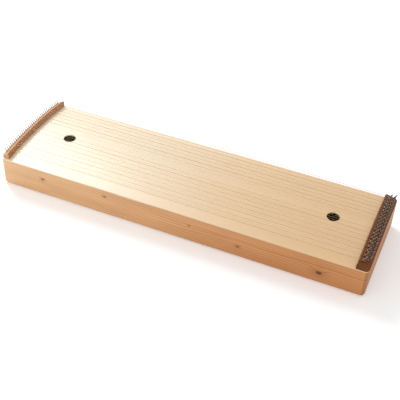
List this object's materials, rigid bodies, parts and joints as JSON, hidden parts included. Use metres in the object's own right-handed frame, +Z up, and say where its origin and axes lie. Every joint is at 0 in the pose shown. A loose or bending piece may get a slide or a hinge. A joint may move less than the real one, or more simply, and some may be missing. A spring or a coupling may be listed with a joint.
{
  "type": "monochord",
  "caption": "Long flat wooden sound box with an arched soundboard, equal parallel strings and tuning pins at one end.",
  "frame": {"origin": "middle of the box's underside, in the plane that it rests on", "axes": "+X along the strings towards the tuning pins, +Y across the box to the back, +Z up"},
  "size_m": [1.2, 0.35, 0.1429],
  "materials": {
    "spruce": "satin varnish, straight fine grain",
    "side_wood": "satin varnish, knots and wavy grain",
    "rail_wood": "satin varnish",
    "dark_wood": "satin varnish",
    "block_wood": "planed, unfinished",
    "pin_steel": "polished steel",
    "string_steel": "drawn steel wire, some wound with bronze"
  },
  "bodies": {
    "body": {"soundboard": "spruce", "bottom_board": "spruce", "front_side": "side_wood", "back_side": "side_wood", "hitch_end": "side_wood", "pin_end": "side_wood", "hitch_block": "block_wood", "pin_block": "block_wood", "hitch_rail": "rail_wood", "tuning_rail": "dark_wood", "tuning_saddle": "pin_steel", "strings": "string_steel", "upper_lining_front": "spruce", "upper_lining_back": "spruce", "lower_lining_front": "spruce", "lower_lining_back": "spruce", "top_brace_1": "spruce", "top_brace_2": "spruce", "top_brace_3": "spruce", "bottom_brace_1": "spruce", "bottom_brace_2": "spruce"},
    "tuning_pin_01_body": {"tuning_pin_01": "pin_steel"},
    "tuning_pin_02_body": {"tuning_pin_02": "pin_steel"},
    "tuning_pin_03_body": {"tuning_pin_03": "pin_steel"},
    "tuning_pin_04_body": {"tuning_pin_04": "pin_steel"},
    "tuning_pin_05_body": {"tuning_pin_05": "pin_steel"},
    "tuning_pin_06_body": {"tuning_pin_06": "pin_steel"},
    "tuning_pin_07_body": {"tuning_pin_07": "pin_steel"},
    "tuning_pin_08_body": {"tuning_pin_08": "pin_steel"},
    "tuning_pin_09_body": {"tuning_pin_09": "pin_steel"},
    "tuning_pin_10_body": {"tuning_pin_10": "pin_steel"},
    "tuning_pin_11_body": {"tuning_pin_11": "pin_steel"},
    "tuning_pin_12_body": {"tuning_pin_12": "pin_steel"},
    "tuning_pin_13_body": {"tuning_pin_13": "pin_steel"},
    "tuning_pin_14_body": {"tuning_pin_14": "pin_steel"},
    "tuning_pin_15_body": {"tuning_pin_15": "pin_steel"},
    "tuning_pin_16_body": {"tuning_pin_16": "pin_steel"},
    "tuning_pin_17_body": {"tuning_pin_17": "pin_steel"},
    "tuning_pin_18_body": {"tuning_pin_18": "pin_steel"},
    "tuning_pin_19_body": {"tuning_pin_19": "pin_steel"},
    "tuning_pin_20_body": {"tuning_pin_20": "pin_steel"},
    "tuning_pin_21_body": {"tuning_pin_21": "pin_steel"},
    "tuning_pin_22_body": {"tuning_pin_22": "pin_steel"},
    "tuning_pin_23_body": {"tuning_pin_23": "pin_steel"},
    "tuning_pin_24_body": {"tuning_pin_24": "pin_steel"},
    "tuning_pin_25_body": {"tuning_pin_25": "pin_steel"},
    "tuning_pin_26_body": {"tuning_pin_26": "pin_steel"},
    "tuning_pin_27_body": {"tuning_pin_27": "pin_steel"},
    "tuning_pin_28_body": {"tuning_pin_28": "pin_steel"},
    "tuning_pin_29_body": {"tuning_pin_29": "pin_steel"},
    "tuning_pin_30_body": {"tuning_pin_30": "pin_steel"},
    "tuning_pin_31_body": {"tuning_pin_31": "pin_steel"},
    "tuning_pin_32_body": {"tuning_pin_32": "pin_steel"},
    "tuning_pin_33_body": {"tuning_pin_33": "pin_steel"},
    "tuning_pin_34_body": {"tuning_pin_34": "pin_steel"}
  },
  "joints": [
    {"name": "turn_01", "type": "hinge", "parent": "body", "child": "tuning_pin_01_body", "pos_m": [0.574, -0.14897, 0.11332], "axis": [0.4226, 0, 0.9063], "continuous": true},
    {"name": "turn_02", "type": "hinge", "parent": "body", "child": "tuning_pin_02_body", "pos_m": [0.5865, -0.13952, 0.11067], "axis": [0.4226, 0, 0.9063], "continuous": true},
    {"name": "turn_03", "type": "hinge", "parent": "body", "child": "tuning_pin_03_body", "pos_m": [0.574, -0.13007, 0.11531], "axis": [0.4226, 0, 0.9063], "continuous": true},
    {"name": "turn_04", "type": "hinge", "parent": "body", "child": "tuning_pin_04_body", "pos_m": [0.5865, -0.12061, 0.11252], "axis": [0.4226, 0, 0.9063], "continuous": true},
    {"name": "turn_05", "type": "hinge", "parent": "body", "child": "tuning_pin_05_body", "pos_m": [0.574, -0.11116, 0.11702], "axis": [0.4226, 0, 0.9063], "continuous": true},
    {"name": "turn_06", "type": "hinge", "parent": "body", "child": "tuning_pin_06_body", "pos_m": [0.5865, -0.1017, 0.1141], "axis": [0.4226, 0, 0.9063], "continuous": true},
    {"name": "turn_07", "type": "hinge", "parent": "body", "child": "tuning_pin_07_body", "pos_m": [0.574, -0.09225, 0.11846], "axis": [0.4226, 0, 0.9063], "continuous": true},
    {"name": "turn_08", "type": "hinge", "parent": "body", "child": "tuning_pin_08_body", "pos_m": [0.5865, -0.08279, 0.1154], "axis": [0.4226, 0, 0.9063], "continuous": true},
    {"name": "turn_09", "type": "hinge", "parent": "body", "child": "tuning_pin_09_body", "pos_m": [0.574, -0.07334, 0.11964], "axis": [0.4226, 0, 0.9063], "continuous": true},
    {"name": "turn_10", "type": "hinge", "parent": "body", "child": "tuning_pin_10_body", "pos_m": [0.5865, -0.06388, 0.11644], "axis": [0.4226, 0, 0.9063], "continuous": true},
    {"name": "turn_11", "type": "hinge", "parent": "body", "child": "tuning_pin_11_body", "pos_m": [0.574, -0.05443, 0.12054], "axis": [0.4226, 0, 0.9063], "continuous": true},
    {"name": "turn_12", "type": "hinge", "parent": "body", "child": "tuning_pin_12_body", "pos_m": [0.5865, -0.04498, 0.11721], "axis": [0.4226, 0, 0.9063], "continuous": true},
    {"name": "turn_13", "type": "hinge", "parent": "body", "child": "tuning_pin_13_body", "pos_m": [0.574, -0.03552, 0.12118], "axis": [0.4226, 0, 0.9063], "continuous": true},
    {"name": "turn_14", "type": "hinge", "parent": "body", "child": "tuning_pin_14_body", "pos_m": [0.5865, -0.02607, 0.11772], "axis": [0.4226, 0, 0.9063], "continuous": true},
    {"name": "turn_15", "type": "hinge", "parent": "body", "child": "tuning_pin_15_body", "pos_m": [0.574, -0.01661, 0.12154], "axis": [0.4226, 0, 0.9063], "continuous": true},
    {"name": "turn_16", "type": "hinge", "parent": "body", "child": "tuning_pin_16_body", "pos_m": [0.5865, -0.00716, 0.11795], "axis": [0.4226, 0, 0.9063], "continuous": true},
    {"name": "turn_17", "type": "hinge", "parent": "body", "child": "tuning_pin_17_body", "pos_m": [0.574, 0.0023, 0.12165], "axis": [0.4226, 0, 0.9063], "continuous": true},
    {"name": "turn_18", "type": "hinge", "parent": "body", "child": "tuning_pin_18_body", "pos_m": [0.5865, 0.01175, 0.11792], "axis": [0.4226, 0, 0.9063], "continuous": true},
    {"name": "turn_19", "type": "hinge", "parent": "body", "child": "tuning_pin_19_body", "pos_m": [0.574, 0.02121, 0.12148], "axis": [0.4226, 0, 0.9063], "continuous": true},
    {"name": "turn_20", "type": "hinge", "parent": "body", "child": "tuning_pin_20_body", "pos_m": [0.5865, 0.03066, 0.11762], "axis": [0.4226, 0, 0.9063], "continuous": true},
    {"name": "turn_21", "type": "hinge", "parent": "body", "child": "tuning_pin_21_body", "pos_m": [0.574, 0.04012, 0.12104], "axis": [0.4226, 0, 0.9063], "continuous": true},
    {"name": "turn_22", "type": "hinge", "parent": "body", "child": "tuning_pin_22_body", "pos_m": [0.5865, 0.04957, 0.11705], "axis": [0.4226, 0, 0.9063], "continuous": true},
    {"name": "turn_23", "type": "hinge", "parent": "body", "child": "tuning_pin_23_body", "pos_m": [0.574, 0.05903, 0.12034], "axis": [0.4226, 0, 0.9063], "continuous": true},
    {"name": "turn_24", "type": "hinge", "parent": "body", "child": "tuning_pin_24_body", "pos_m": [0.5865, 0.06848, 0.11622], "axis": [0.4226, 0, 0.9063], "continuous": true},
    {"name": "turn_25", "type": "hinge", "parent": "body", "child": "tuning_pin_25_body", "pos_m": [0.574, 0.07793, 0.11937], "axis": [0.4226, 0, 0.9063], "continuous": true},
    {"name": "turn_26", "type": "hinge", "parent": "body", "child": "tuning_pin_26_body", "pos_m": [0.5865, 0.08739, 0.11511], "axis": [0.4226, 0, 0.9063], "continuous": true},
    {"name": "turn_27", "type": "hinge", "parent": "body", "child": "tuning_pin_27_body", "pos_m": [0.574, 0.09684, 0.11814], "axis": [0.4226, 0, 0.9063], "continuous": true},
    {"name": "turn_28", "type": "hinge", "parent": "body", "child": "tuning_pin_28_body", "pos_m": [0.5865, 0.1063, 0.11374], "axis": [0.4226, 0, 0.9063], "continuous": true},
    {"name": "turn_29", "type": "hinge", "parent": "body", "child": "tuning_pin_29_body", "pos_m": [0.574, 0.11575, 0.11663], "axis": [0.4226, 0, 0.9063], "continuous": true},
    {"name": "turn_30", "type": "hinge", "parent": "body", "child": "tuning_pin_30_body", "pos_m": [0.5865, 0.12521, 0.1121], "axis": [0.4226, 0, 0.9063], "continuous": true},
    {"name": "turn_31", "type": "hinge", "parent": "body", "child": "tuning_pin_31_body", "pos_m": [0.574, 0.13466, 0.11485], "axis": [0.4226, 0, 0.9063], "continuous": true},
    {"name": "turn_32", "type": "hinge", "parent": "body", "child": "tuning_pin_32_body", "pos_m": [0.5865, 0.14412, 0.11018], "axis": [0.4226, 0, 0.9063], "continuous": true},
    {"name": "turn_33", "type": "hinge", "parent": "body", "child": "tuning_pin_33_body", "pos_m": [0.574, 0.15357, 0.1128], "axis": [0.4226, 0, 0.9063], "continuous": true},
    {"name": "turn_34", "type": "hinge", "parent": "body", "child": "tuning_pin_34_body", "pos_m": [0.5865, 0.16303, 0.108], "axis": [0.4226, 0, 0.9063], "continuous": true}
  ]
}
